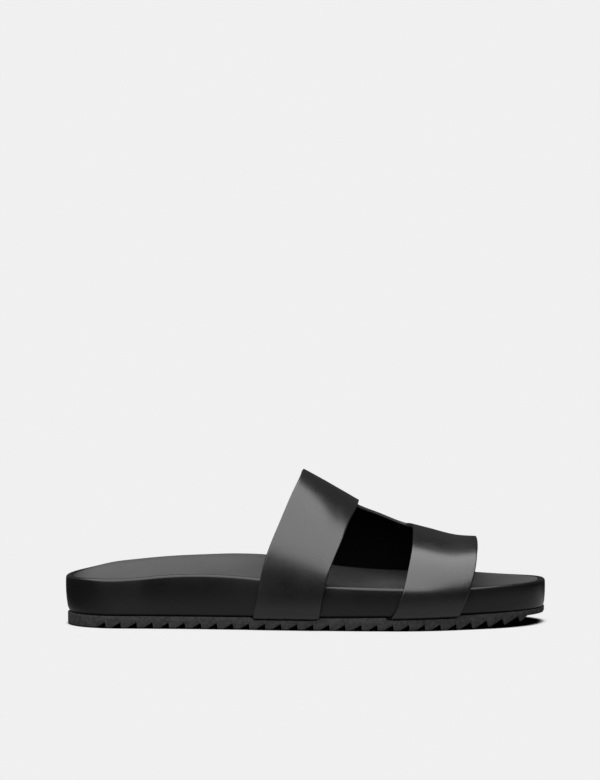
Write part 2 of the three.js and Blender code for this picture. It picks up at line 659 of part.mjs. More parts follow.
function upper() {
  const inner = innerGrid();
  const lift = GIRTH.map(liftOf);
  const wall = GIRTH.map(wallOf);
  const normal = inner.map((line, j) =>
    line.map((_, i) => {
      const after = Math.min(i + 1, COLUMN_COUNT);
      const above = Math.min(j + 1, inner.length - 1);
      const along = line[after].clone().sub(line[Math.max(i - 1, 0)]);
      const around = inner[above][i].clone().sub(inner[Math.max(j - 1, 0)][i]);
      return along.cross(around).normalize();
    }),
  );
  const at = (i, j, offset) => inner[j][i].clone().addScaledVector(normal[j][i], offset);

  // The leather between two offsets from the inner face, or nothing in the side opening
  const layerOf = (i, j) => {
    if (i < 0 || j < 0 || i >= COLUMN_COUNT || j >= GIRTH.length - 1) return null;
    if (i >= REAR_COLUMNS + PANEL_COLUMNS) return "front";
    if (i >= REAR_COLUMNS) return j >= PANEL_ROW ? "front" : null;
    return i >= SINGLE_COLUMNS && j >= PANEL_ROW ? "double" : "rear";
  };
  const low = (layer, j) => (layer === "rear" ? lift[j] : 0);
  const high = (layer, j) => (layer === "front" ? wall[j] : lift[j] + wall[j]);

  const faces = new Faces();
  // An upright face along the grid line from corner p to corner q, between two offsets each
  const upright = (p, q, lows, highs) => {
    const a = at(...p, lows[0]);
    const b = at(...q, lows[1]);
    const c = at(...q, highs[1]);
    const d = at(...p, highs[0]);
    const open = [highs[0] > lows[0], highs[1] > lows[1]];
    if (open[0] && open[1]) faces.quad(a, b, c, d);
    else if (open[0]) faces.triangle(a, b, d);
    else if (open[1]) faces.triangle(a, b, c);
  };
  // The faces of one cell's leather towards its neighbour over the line from p to q
  const border = (mine, other, p, q) => {
    const rows = [p[1], q[1]];
    if (!other) {
      upright(p, q, rows.map((j) => low(mine, j)), rows.map((j) => high(mine, j)));
      return;
    }
    const over = rows.map((j) => Math.min(high(mine, j), high(other, j)));
    upright(p, q, over, rows.map((j) => high(mine, j)));
    const under = rows.map((j) => Math.max(low(mine, j), low(other, j)));
    upright(p, q, rows.map((j) => low(mine, j)), under);
  };
  for (let j = 0; j < GIRTH.length - 1; j++) {
    for (let i = 0; i < COLUMN_COUNT; i++) {
      const layer = layerOf(i, j);
      if (!layer) continue;
      const cell = [[i, j], [i + 1, j], [i + 1, j + 1], [i, j + 1]];
      faces.quad(...cell.map(([a, b]) => at(a, b, high(layer, b))));
      faces.quad(...cell.map(([a, b]) => at(a, b, low(layer, b))).reverse());
      border(layer, layerOf(i, j - 1), cell[0], cell[1]);
      border(layer, layerOf(i + 1, j), cell[1], cell[2]);
      border(layer, layerOf(i, j + 1), cell[2], cell[3]);
      border(layer, layerOf(i - 1, j), cell[3], cell[0]);
    }
  }
  return piece("upper", faces.geometry(), 0x232323, 0.5);
}

// The sandal, centred across its widest pieces

const sandal = new THREE.Group();
sandal.add(outsole(), footbed(), insole(), upper());
const extent = new THREE.Box3().setFromObject(sandal);
for (const mesh of sandal.children) {
  mesh.position.set(-(extent.min.x + extent.max.x) / 2, -(extent.min.y + extent.max.y) / 2, 0);
}

export default sandal;
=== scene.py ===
"""Dresses the frame of a slide sandal: leather bands, footbed and insole on a ribbed sole."""

import math

import bmesh
import bpy
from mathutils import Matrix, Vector


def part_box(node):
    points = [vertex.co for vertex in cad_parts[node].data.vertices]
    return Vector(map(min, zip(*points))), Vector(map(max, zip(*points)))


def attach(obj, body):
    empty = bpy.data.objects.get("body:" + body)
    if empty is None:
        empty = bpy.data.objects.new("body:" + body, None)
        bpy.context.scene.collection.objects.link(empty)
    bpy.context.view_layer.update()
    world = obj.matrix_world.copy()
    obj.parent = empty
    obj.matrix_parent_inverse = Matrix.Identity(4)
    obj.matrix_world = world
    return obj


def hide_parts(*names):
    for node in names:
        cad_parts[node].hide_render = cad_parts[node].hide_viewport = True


bl_info = {
    "name": "Slide sandal",
    "version": (1, 0, 0),
    "blender": (4, 5, 0),
    "location": "View3D > Sidebar > Sandal",
    "description": "Builds a two-band leather slide sandal around its frame",
    "category": "Add Mesh",
}

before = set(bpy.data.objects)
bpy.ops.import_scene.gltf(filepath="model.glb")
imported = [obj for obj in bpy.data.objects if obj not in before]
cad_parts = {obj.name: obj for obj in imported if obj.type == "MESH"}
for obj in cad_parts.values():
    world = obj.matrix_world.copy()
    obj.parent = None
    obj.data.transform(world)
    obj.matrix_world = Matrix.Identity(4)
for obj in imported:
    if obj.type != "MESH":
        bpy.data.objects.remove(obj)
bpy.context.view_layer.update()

# Sizes that come from the frame, in metres
MM = 0.001
GAP = 0.3 * MM
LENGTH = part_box("footbed")[1].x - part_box("footbed")[0].x
SOLE_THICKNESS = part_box("footbed")[0].z - GAP

WELD = 0.01 * MM

LATERAL = -1
MEDIAL = 1
RIGHT_ANGLE = math.pi / 2


def table(columns, *rows):
    """A table with named columns, as one list for each column."""
    return {name: [row[k] for row in rows] for k, name in enumerate(columns.split())}


# Plan of the footbed: at is a share of the length, the rest are shares of the ball width
PLAN = table(
    "at spine lateral medial",
    (0.0, 0.0, 0.325, 0.32),
    (0.12, 0.0, 0.332, 0.327),
    (0.24, 0.0, 0.352, 0.332),
    (0.36, 0.0, 0.393, 0.337),
    (0.46, 0.005, 0.434, 0.372),
    (0.56, 0.015, 0.48, 0.429),
    (0.66, 0.036, 0.52, 0.465),
    (0.74, 0.061, 0.536, 0.46),
    (0.82, 0.09, 0.531, 0.425),
    (1.0, 0.12, 0.5, 0.37),
)

# Footbed's side, as shares of its height at the heel: the rims over the outsole, the hollow
# between them, and how much of the side's inward fall and the outsole's setback is left
RIM = table(
    "at lateral medial dish undercut",
    (0.0, 1.0, 1.0, 0.4, 1.0),
    (0.05, 1.022, 1.09, 0.4, 1.0),
    (0.1, 1.022, 1.21, 0.4, 1.0),
    (0.15, 1.062, 1.285, 0.4, 1.0),
    (0.205, 1.134, 1.353, 0.38, 1.0),
    (0.28, 1.175, 1.405, 0.34, 1.0),
    (0.36, 1.138, 1.43, 0.3, 1.0),
    (0.41, 1.08, 1.4, 0.26, 1.0),
    (0.5, 0.95, 1.2, 0.2, 1.0),
    (0.58, 0.868, 1.015, 0.18, 1.0),
    (0.67, 0.817, 0.885, 0.16, 1.0),
    (0.75, 0.787, 0.83, 0.14, 1.0),
    (0.85, 0.754, 0.783, 0.12, 1.0),
    (0.92, 0.758, 0.742, 0.12, 0.75),
    (1.0, 0.745, 0.745, 0.1, 0.45),
)

# Last under the bands: the crest's height as a share of the instep height, its place
# across as a share of the ball width, how square the arch is, and how many degrees round
# it the bands leave the rim
LAST = table(
    "at crest ridge fullness lean",
    (0.36, 1.17, 0.07, 2.0, 0.5),
    (0.42, 1.08, 0.07, 2.0, 0.5),
    (0.494, 0.9545, 0.07, 2.0, 1.0),
    (0.535, 0.88, 0.09, 2.02, 2.0),
    (0.57, 0.8127, 0.12, 2.05, 5.0),
    (0.608, 0.7413, 0.15, 2.08, 8.5),
    (0.655, 0.6822, 0.18, 2.15, 12.0),
    (0.7, 0.6274, 0.2, 2.2, 14.0),
    (0.756, 0.5798, 0.19, 2.25, 14.0),
    (0.815, 0.537, 0.15, 2.3, 14.0),
    (0.854, 0.532, 0.12, 2.3, 14.0),
    (0.9, 0.532, 0.12, 2.3, 14.0),
)

# Cut edges of the bands: at is the height as a share of the instep height, the rest are
# shares of the length from the back of the heel
EDGES = table(
    "at rear_back rear_front front_back front_front",
    (0.08, 0.388, 0.5245, 0.667, 0.8155),
    (0.16, 0.3935, 0.5305, 0.6845, 0.8212),
    (0.24, 0.399, 0.5345, 0.6948, 0.8308),
    (0.32, 0.4035, 0.541, 0.7033, 0.8414),
    (0.4, 0.4085, 0.547, 0.7095, 0.849),
    (0.5, 0.4166, 0.559, 0.7165, 0.8552),
    (0.6, 0.4281, 0.573, 0.7217, 0.8563),
    (0.72, 0.4443, 0.589, 0.7245, 0.8563),
    (0.8, 0.4551, 0.607, 0.726, 0.8563),
    (0.9, 0.4694, 0.622, 0.7275, 0.8563),
    (1.0, 0.4865, 0.637, 0.729, 0.8563),
)

# Forward shift of the same edges on the medial side, as shares of the medial advance: at
# is 0 at the crest, 1 at the footbed's rim and 2 under the footbed
SHIFTS = table(
    "at rear_back rear_front front_back front_front",
    (0.0, 0.0, 0.0, 0.0, 0.0),
    (0.15, 0.25, 0.15, -0.3, 0.0),
    (0.33, 0.6, 0.4, -0.75, 0.05),
    (0.6, 0.9, 0.75, -0.5, 0.2),
    (1.0, 1.0, 1.0, 0.0, 0.5),
    (2.0, 1.0, 1.0, 0.0, 1.0),
)
EDGE_NAMES = ("rear_back", "rear_front", "front_back", "front_front")


def length_size(name, description, default):
    """A size in metres for the panel."""
    return bpy.props.FloatProperty(
        name=name, description=description, default=default, min=0.0, unit="LENGTH", precision=5
    )


def colour(name, description, default):
    """A linear colour for the panel."""
    return bpy.props.FloatVectorProperty(
        name=name, description=description, default=default, size=3, min=0.0, max=1.0,
        subtype="COLOR",
    )


class SandalSizes(bpy.types.PropertyGroup):
    """Sizes of the sandal's finish that a user would change."""

    instep_height: length_size("Instep height", "Floor to the top of the bands", 90 * MM)
    toe_spring: length_size("Toe spring", "Rise of the underside at the toe", 5.2 * MM)
    footbed_side: length_size("Footbed side", "Side height at the back of the heel", 21.5 * MM)
    lower_round_in: length_size("Lower round in", "Rounded lower edge, inwards", 1.4 * MM)
    lower_round_up: length_size("Lower round up", "Rounded lower edge, upwards", 4 * MM)
    rim_round: length_size("Rim round", "Rounded upper edge of the footbed", 1.6 * MM)
    side_fall: length_size("Side fall", "Inward fall of the footbed's side", 3 * MM)
    rim_width: length_size("Rim width", "Rim that stands round the insole", 4 * MM)
    seam_drop: length_size("Seam drop", "Fall of the rim to the insole's edge", 0.3 * MM)
    insole_thickness: length_size("Insole", "Thickness of the insole", 2 * MM)
    wall: length_size("Band leather", "Thickness of the bands", 2.6 * MM)
    margin_wall: length_size("Margin leather", "Thickness of the skived margin", 1.2 * MM)
    margin: length_size("Margin", "How far the bands reach under the footbed", 12 * MM)
    edge_round: length_size("Edge round", "Rounding of the bands' cut edges", 1.1 * MM)
    medial_advance: length_size("Medial advance", "Forward shift of the bands inside", 6 * MM)
    heel_round: length_size("Heel round", "Length of the rounded heel end", 33 * MM)
    toe_round: length_size("Toe round", "Length of the rounded toe end", 86 * MM)
    sole_setback: length_size("Sole setback", "Outsole edge behind the footbed", 1.2 * MM)
    rib_pitch: length_size("Rib pitch", "Distance from rib to rib", 9.5 * MM)
    rib_width: length_size("Notch width", "Opening of one notch", 6.5 * MM)
    rib_depth: length_size("Notch depth", "Depth of one notch", 3.5 * MM)
    rib_lean: length_size("Notch lean", "Lean of a notch's upright face", 0.5 * MM)
    toe_rib_width: length_size("Toe notch width", "Opening of a notch at the toe", 8.7 * MM)
    toe_rib_depth: length_size("Toe notch depth", "Depth of a notch at the toe", 4.1 * MM)
    toe_rib_lean: length_size("Toe notch lean", "Lean of a notch's face at the toe", 1.3 * MM)
    first_rib: length_size("First notch", "Front of the first notch", 24 * MM)
    toe_lift: length_size("Toe lift", "Underside over the floor at the toe", 6.1 * MM)
    toe_lift_start: length_size("Toe lift start", "Where the toe lift begins", 271.8 * MM)
    toe_lift_run: length_size("Toe lift run", "Slope up to the toe lift", 3.8 * MM)
    rib_count: bpy.props.IntProperty(
        name="Notches", description="Notches along the underside", default=27, min=1
    )


class SandalColours(bpy.types.PropertyGroup):
    """Colours of the sandal's materials."""

    band: colour("Bands", "Leather of the bands", (0.0072, 0.0072, 0.0074))
    band_edge: colour("Band edges", "Dyed cut edges of the bands", (0.004, 0.004, 0.004))
    raw_edge: colour("Raw edge", "Pared edge of the panel", (0.045, 0.045, 0.045))
    lining: colour("Lining", "Inner face of the bands", (0.0012, 0.0012, 0.0012))
    footbed: colour("Footbed", "Leather cover of the footbed", (0.0048, 0.0048, 0.0049))
    insole: colour("Insole", "Leather sock of the insole", (0.039, 0.039, 0.0394))
    rubber: colour("Outsole", "Rubber of the outsole", (0.024, 0.024, 0.0245))
    floor: colour("Floor", "Floor and backdrop", (0.8714, 0.8714, 0.8714))


def sizes():
    return bpy.context.scene.sandal_sizes


def colours():
    return bpy.context.scene.sandal_colours


# Curves and heights


def mix(a, b, share):
    return a + (b - a) * share


def clamp(value):
    return min(1.0, max(0.0, value))


def ease(share):
    return share * share * (3 - 2 * share)


def length_x(at):
    return (at - 0.5) * LENGTH


def curve_of(columns, name):
    """Smooth curve through one column of a table, over its first column."""
    at = columns["at"]
    value = columns[name]
    last = len(at) - 1

    def rise(i):
        return (value[i + 1] - value[i]) / (at[i + 1] - at[i])

    slope = [rise(0)]
    for i in range(1, last):
        before = at[i] - at[i - 1]
        after = at[i + 1] - at[i]
        slope.append((before * rise(i) + after * rise(i - 1)) / (before + after))
    slope.append(rise(last - 1))

    def read(place):
        if place <= at[0]:
            return value[0] + slope[0] * (place - at[0])
        if place >= at[last]:
            return value[last] + slope[last] * (place - at[last])
        i = max(k for k in range(last) if at[k] <= place)
        span = at[i + 1] - at[i]
        t = (place - at[i]) / span
        start = (1 + 2 * t) * (1 - t) ** 2 * value[i]
        end = t * t * (3 - 2 * t) * value[i + 1]
        leave = t * (1 - t) ** 2 * span * slope[i]
        arrive = t * t * (t - 1) * span * slope[i + 1]
        return start + end + leave + arrive

    return read


SPINE_AT = curve_of(PLAN, "spine")
HALF_WIDTH_AT = {LATERAL: curve_of(PLAN, "lateral"), MEDIAL: curve_of(PLAN, "medial")}
RIM_AT = {LATERAL: curve_of(RIM, "lateral"), MEDIAL: curve_of(RIM, "medial")}
DISH_AT = curve_of(RIM, "dish")
UNDERCUT_AT = curve_of(RIM, "undercut")
CREST_AT = curve_of(LAST, "crest")
RIDGE_AT = curve_of(LAST, "ridge")
FULLNESS_AT = curve_of(LAST, "fullness")
LEAN_AT = curve_of(LAST, "lean")
EDGE_AT = [curve_of(EDGES, name) for name in EDGE_NAMES]
SHIFT_AT = [curve_of(SHIFTS, name) for name in EDGE_NAMES]

HEEL_FULLNESS = 2.1
TOE_FULLNESS = 2.35
SPRING_START = 0.82
SPRING_CURVE = 1.6
TOP_RISE = 2.2 * MM
TOP_RISE_START = 0.5
TOP_RISE_CURVE = 1.2
WIDEST_AT = 0.75
PLAN_STEPS = 400
TANGENT_STEP = 1e-4
FINE_STATIONS = (26, 60, 34)  # steps along the heel, the body and the toe
FLAT_STEPS = 2  # steps across a flat face


def end_round(at):
    """How much of the full width is left near the rounded heel and toe ends."""
    heel = clamp(1 - at * LENGTH / sizes().heel_round) ** HEEL_FULLNESS
    toe = clamp(1 - (1 - at) * LENGTH / sizes().toe_round) ** TOE_FULLNESS
    return (1 - heel) ** (1 / HEEL_FULLNESS) * (1 - toe) ** (1 / TOE_FULLNESS)


def outline_share(at, side):
    """Distance of the outline from the axis, as a share of the ball width."""
    return SPINE_AT(at) + side * HALF_WIDTH_AT[side](at) * end_round(at)


def fit_across():
    """Ball width and axis that bring the plan to the footbed of the frame."""
    spots = [k / PLAN_STEPS for k in range(PLAN_STEPS + 1)]
    low = min(outline_share(at, LATERAL) for at in spots)
    high = max(outline_share(at, MEDIAL) for at in spots)
    foot_low, foot_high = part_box("footbed")
    width = (foot_high.y - foot_low.y) / (high - low)
    return width, foot_low.y - low * width


class Across:
    """Ball width and axis, in metres, once the sizes are registered."""

    width = 0.0
    axis = 0.0


def outline(at, side):
    return Vector((length_x(at), Across.axis + Across.width * outline_share(at, side)))


def outward_at(at, side):
    """Plan direction that points out of the outline, away from both ends."""
    along = outline(at + TANGENT_STEP, side) - outline(at - TANGENT_STEP, side)
    return Vector((-side * along.y, side * along.x)).normalized()


def rise_at(at, full, start, curve):
    return full * clamp((at - start) / (1 - start)) ** curve


def underside_at(at):
    return rise_at(at, sizes().toe_spring, SPRING_START, SPRING_CURVE)


def sole_top_at(at):
    return SOLE_THICKNESS + rise_at(at, TOP_RISE, TOP_RISE_START, TOP_RISE_CURVE)


def footbed_bottom_at(at):
    return sole_top_at(at) + GAP


def side_height_at(at, side):
    return sizes().footbed_side * RIM_AT[side](at)


def insole_height(at, across):
    """Top of the insole, from 0 at the lateral rim to 1 at the medial rim."""
    low = footbed_bottom_at(at)
    rim = mix(side_height_at(at, LATERAL), side_height_at(at, MEDIAL), ease(across))
    hollow = 1 - (2 * across - 1) ** 2
    dish = sizes().footbed_side * DISH_AT(at) * end_round(at) * hollow
    return low + rim - sizes().seam_drop - dish


class Spot:
    """A place on the outline loop: its share of the length, its side and its plan."""

    def __init__(self, at, side):
        self.at = at
        self.side = side
        self.place = outline(at, side)
        self.outward = Vector((1, 0)) if at > 0.5 else Vector((-1, 0))

    def inside(self, inset, height):
        flat = self.place - self.outward * inset
        return Vector((flat.x, flat.y, height))


def smooth_stations(heel_steps, body_steps, toe_steps):
    """Shares of the length from heel to toe, closer together where the ends turn."""
    heel_end = sizes().heel_round / LENGTH
    toe_start = 1 - sizes().toe_round / LENGTH
    heel = [
        heel_end * (1 - math.cos(k / heel_steps * RIGHT_ANGLE)) for k in range(heel_steps)
    ]
    body = [mix(heel_end, toe_start, k / body_steps) for k in range(body_steps)]
    toe = [
        mix(toe_start, 1.0, math.sin(k / toe_steps * RIGHT_ANGLE)) for k in range(toe_steps + 1)
    ]
    return heel + body + toe


class Loop:
    """The outline's two sides at the same stations, joined at the heel and toe tips."""

    def __init__(self, stations):
        self.stations = stations
        self.sides = {}
        for side in (LATERAL, MEDIAL):
            spots = [Spot(at, side) for at in stations]
            for k in range(1, len(spots) - 1):
                along = spots[k + 1].place - spots[k - 1].place
                spots[k].outward = Vector((-side * along.y, side * along.x)).normalized()
            self.sides[side] = spots

    def spot(self, station, side):
        return self.sides[side][station]


# Mesh building


def keys_of(bm):
    """Two number layers that hold a vertex's station and its share across."""
    layers = bm.verts.layers
    station = layers.int.get("station") or layers.int.new("station")
    across = layers.float.get("across") or layers.float.new("across")
    return station, across


def place_lid(bm, loop, steps, inset, height):
    """A grid over the outline moved in by inset(spot), at height(at, across)."""
    last = len(loop.stations) - 1
    keys_of(bm)
    made = bmesh.ops.create_grid(bm, x_segments=last, y_segments=steps, size=1)
    station_key, across_key = keys_of(bm)
    for vert in made["verts"]:
        station = round((vert.co.x + 1) / 2 * last)
        across = round((vert.co.y + 1) / 2 * steps) / steps
        vert[station_key] = station
        vert[across_key] = across
        ends = []
        for side in (LATERAL, MEDIAL):
            spot = loop.spot(station, side)
            ends.append(spot.inside(inset(spot), 0))
        vert.co = ends[0].lerp(ends[1], across)
        vert.co.z = height(loop.stations[station], across)
    bmesh.ops.remove_doubles(bm, verts=made["verts"], dist=WELD)
    return [edge for edge in bm.edges if edge.is_boundary]


def extrude_ring(bm, edges, place):
    """Extrudes a closed ring of edges and puts each new vertex at place(station, side)."""
    out = bmesh.ops.extrude_edge_only(bm, edges=edges)["geom"]
    station_key, across_key = keys_of(bm)
    for vert in (item for item in out if isinstance(item, bmesh.types.BMVert)):
        side = LATERAL if vert[across_key] < 0.5 else MEDIAL
        vert.co = place(vert[station_key], side)
    return [item for item in out if isinstance(item, bmesh.types.BMEdge) and item.is_boundary]


def finish_piece(name, bm, materials, nodes=(), smooth_angle=None):
    """Turns a bmesh into a piece of the sandal that rides on the body."""
    bmesh.ops.remove_doubles(bm, verts=bm.verts, dist=WELD)
    bmesh.ops.recalc_face_normals(bm, faces=bm.faces)
    mesh = bpy.data.meshes.new(name)
    bm.to_mesh(mesh)
    bm.free()
    for material in materials:
        mesh.materials.append(material)
    mesh.shade_smooth()
    if smooth_angle is not None:
        mesh.set_sharp_from_angle(angle=smooth_angle)
    piece = bpy.data.objects.new(name, mesh)
    bpy.context.scene.collection.objects.link(piece)
    if nodes:
        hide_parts(*nodes)
    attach(piece, "root")
    return piece


def bevel_sharp(bm, width, segments, least_angle):
    """Rounds the edges that are sharper than an angle."""
    sharp = [
        edge for edge in bm.edges
        if len(edge.link_faces) == 2 and edge.calc_face_angle() > least_angle
    ]
    bmesh.ops.bevel(
        bm, geom=sharp, offset=width, segments=segments, profile=0.5, affect="EDGES",
        material=-1, clamp_overlap=True,
    )


# Footbed's side, shared by the footbed and the bands that lie against it

BEND_STEPS = 8
SIDE_STEPS = 6
BAND_ROWS = BEND_STEPS + 1 + SIDE_STEPS


def side_section(at, side):
    """Rows from underneath up to the rim: inset, rise, and the normal out and up."""
    size = sizes()
    rows = []
    height = side_height_at(at, side)
    undercut = UNDERCUT_AT(at)
    round_in = undercut * size.lower_round_in

    def fall(rise):
        return undercut * size.side_fall * (rise / height - WIDEST_AT) ** 2

    for k in range(BEND_STEPS + 1):
        turn = k / BEND_STEPS * RIGHT_ANGLE
        rise = size.lower_round_up * (1 - math.cos(turn))
        inset = round_in * (1 - math.sin(turn)) + fall(rise)
        out = Vector((math.sin(turn) * size.lower_round_up, -math.cos(turn) * round_in))
        rows.append((inset, rise, *out.normalized()))
    for k in range(1, SIDE_STEPS + 1):
        rise = mix(size.lower_round_up, height - size.rim_round, k / SIDE_STEPS)
        rows.append((fall(rise), rise, 1, 0))
    for k in range(1, BEND_STEPS + 1):
        turn = k / BEND_STEPS * RIGHT_ANGLE
        rise = height - size.rim_round * (1 - math.sin(turn))
        inset = size.rim_round * (1 - math.cos(turn)) + fall(rise)
        rows.append((inset, rise, math.cos(turn), math.sin(turn)))
    return rows


# Materials

# Noises: scale, detail and roughness
FINE_GRAIN = (2400.0, 2.0, 0.5)
UNEVEN_GRAIN = (170.0, 3.0, 0.5)
SLOW_TONE = (38.0, 3.0, 0.5)
RUBBER_TONE = (420.0, 4.0, 0.7)
RUBBER_PITS = (1800.0, 3.0, 0.6)

# Leathers: roughness, clear coat, grain cells, strength of the grain, change of tone, specular
LEATHERS = {
    "Band leather": (0.3, 0.6, 1000.0, 0.16, 0.14, 0.5),
    "Footbed leather": (0.32, 0.3, 1100.0, 0.12, 0.14, 0.36),
    "Insole leather": (0.62, 0.0, 1300.0, 0.16, 0.1, 0.5),
}

# Other finishes: roughness, clear coat, roughness of the coat, specular
FINISHES = {
    "Outsole rubber": (0.8, 0.0, 0.3, 0.35),
    "Dyed edge": (0.4, 0.3, 0.35, 0.5),
    "Lining": (0.9, 0.0, 0.3, 0.1),
    "Raw edge": (0.6, 0.0, 0.3, 0.3),
}

GRAIN_SMOOTHNESS = 0.6
CELL_SHARE = 0.7
FINE_SHARE = 0.5
UNEVEN_SHARE = 2.0
GRAIN_DEPTH = 0.2 * MM
COAT_SMOOTHER = 0.08  # how much smoother the clear coat is than the leather
GLOSS_CHANGE = 0.06
TONE_RANGE = (0.35, 0.65)
GLOSS_RANGE = (0.3, 0.7)

RUBBER_DARK = 0.5
RUBBER_LIGHT = 1.45
PIT_STRENGTH = 0.35
PIT_DEPTH = 0.3 * MM
PAINTED_CONTACT_SHADE = (0.5 * MM, 1.3 * MM, 0.05, 1.0)  # painted contact shade at the foot of the ribs, by height


def new_group(name, inputs, outputs):
    """An empty shader group with its sockets, and its two ends."""
    group = bpy.data.node_groups.new(name, "ShaderNodeTree")
    for label, value in inputs.items():
        socket = group.interface.new_socket(label, in_out="INPUT", socket_type="NodeSocketFloat")
        socket.default_value = value
    for label in outputs:
        group.interface.new_socket(label, in_out="OUTPUT", socket_type="NodeSocketFloat")
    start = group.nodes.new("NodeGroupInput")
    end = group.nodes.new("NodeGroupOutput")
    return group, start, end


def noise(group, vector, look):
    node = group.nodes.new("ShaderNodeTexNoise")
    for label, value in zip(("Scale", "Detail", "Roughness"), look):
        node.inputs[label].default_value = value
    group.links.new(vector, node.inputs["Vector"])
    return node.outputs["Fac"]


def math_node(group, operation, a, b):
    node = group.nodes.new("ShaderNodeMath")
    node.operation = operation
    for socket, value in zip(node.inputs, (a, b)):
        if isinstance(value, (int, float)):
            socket.default_value = value
        else:
            group.links.new(value, socket)
    return node.outputs[0]


def map_range(tree, value, bounds):
    """A value brought from one range (low, high) to another (low, high)."""
    node = tree.nodes.new("ShaderNodeMapRange")
    for label, bound in zip(("From Min", "From Max", "To Min", "To Max"), bounds):
        node.inputs[label].default_value = bound
    tree.links.new(value, node.inputs["Value"])
    return node.outputs["Result"]


def tone_ramp(tree, mask, bounds, tones):
    """A colour that goes from the first tone to the second between two bounds."""
    ramp = tree.nodes.new("ShaderNodeValToRGB")
    for stop, bound, tone in zip(ramp.color_ramp.elements, bounds, tones):
        stop.position = bound
        stop.color = (*tone, 1)
    tree.links.new(mask, ramp.inputs["Fac"])
    return ramp.outputs["Color"]


def grain_group():
    """Leather grain: fine cells with soft creases between them, and a slow mottle."""
    old = bpy.data.node_groups.get("Leather grain")
    if old:
        return old
    group, start, end = new_group("Leather grain", {"Cells": 1.0}, ("Height", "Mottle"))
    place = group.nodes.new("ShaderNodeTexCoord").outputs["Object"]
    cells = group.nodes.new("ShaderNodeTexVoronoi")
    cells.feature = "SMOOTH_F1"
    cells.inputs["Smoothness"].default_value = GRAIN_SMOOTHNESS
    group.links.new(place, cells.inputs["Vector"])
    group.links.new(start.outputs["Cells"], cells.inputs["Scale"])
    relief = math_node(group, "MULTIPLY", cells.outputs["Distance"], CELL_SHARE)
    for look, share in ((FINE_GRAIN, FINE_SHARE), (UNEVEN_GRAIN, UNEVEN_SHARE)):
        part = math_node(group, "MULTIPLY", noise(group, place, look), share)
        relief = math_node(group, "ADD", relief, part)
    group.links.new(relief, end.inputs["Height"])
    group.links.new(noise(group, place, SLOW_TONE), end.inputs["Mottle"])
    return group


def shader_material(name, base, finish):
    """A Principled material with its plain values set on its own sockets."""
    material = bpy.data.materials.new(name)
    material.use_nodes = True
    shader = material.node_tree.nodes["Principled BSDF"]
    shader.inputs["Base Color"].default_value = (*base, 1)
    labels = ("Roughness", "Coat Weight", "Coat Roughness", "Specular IOR Level")
    for label, value in zip(labels, finish):
        shader.inputs[label].default_value = value
    return material, shader


def tint(tree, shader, mask, base, dark, light):
    """Base colour that goes from a dark to a light share of it with a mask."""
    tones = [[channel * share for channel in base] for share in (dark, light)]
    colour_of = tone_ramp(tree, mask, TONE_RANGE, tones)
    tree.links.new(colour_of, shader.inputs["Base Color"])


def bump(tree, shader, height, strength, distance):
    node = tree.nodes.new("ShaderNodeBump")
    node.inputs["Strength"].default_value = strength
    node.inputs["Distance"].default_value = distance
    tree.links.new(height, node.inputs["Height"])
    tree.links.new(node.outputs["Normal"], shader.inputs["Normal"])


def dim(tree, shader, factor):
    """Base colour times a factor that a socket gives."""
    scale = tree.nodes.new("ShaderNodeVectorMath")
    scale.operation = "SCALE"
    tint_link = shader.inputs["Base Color"].links[0]
    tree.links.new(tint_link.from_socket, scale.inputs[0])
    tree.links.new(factor, scale.inputs["Scale"])
    tree.links.new(scale.outputs["Vector"], shader.inputs["Base Color"])


def leather(name, base):
    """Leather with grain in its surface and a slow change of tone and gloss."""
    roughness, coat, cells, relief, mottle, specular = LEATHERS[name]
    finish = (roughness, coat, roughness - COAT_SMOOTHER, specular)
    material, shader = shader_material(name, base, finish)
    tree = material.node_tree
    grain = tree.nodes.new("ShaderNodeGroup")
    grain.node_tree = grain_group()
    grain.inputs["Cells"].default_value = cells
    mask = grain.outputs["Mottle"]
    tint(tree, shader, mask, base, 1 - mottle, 1 + mottle)
    gloss = (*GLOSS_RANGE, roughness - GLOSS_CHANGE, roughness + GLOSS_CHANGE)
    tree.links.new(map_range(tree, mask, gloss), shader.inputs["Roughness"])
    bump(tree, shader, grain.outputs["Height"], relief, GRAIN_DEPTH)
    return material


def rubber(name, base):
    """Matt moulded rubber with fine pits and paler specks, and painted contact shade at the foot
    of the ribs.
    """
    material, shader = shader_material(name, base, FINISHES[name])
    tree = material.node_tree
    place = tree.nodes.new("ShaderNodeTexCoord").outputs["Object"]
    tone = noise(tree, place, RUBBER_TONE)
    tint(tree, shader, tone, base, RUBBER_DARK, RUBBER_LIGHT)
    bump(tree, shader, noise(tree, place, RUBBER_PITS), PIT_STRENGTH, PIT_DEPTH)
    axes = tree.nodes.new("ShaderNodeSeparateXYZ")
    tree.links.new(place, axes.inputs["Vector"])
    # painted contact shade: the base colour darkens towards the bottom of the ribs
    dim(tree, shader, map_range(tree, axes.outputs["Z"], PAINTED_CONTACT_SHADE))
    return material


# Operators, one for each piece or group of like pieces


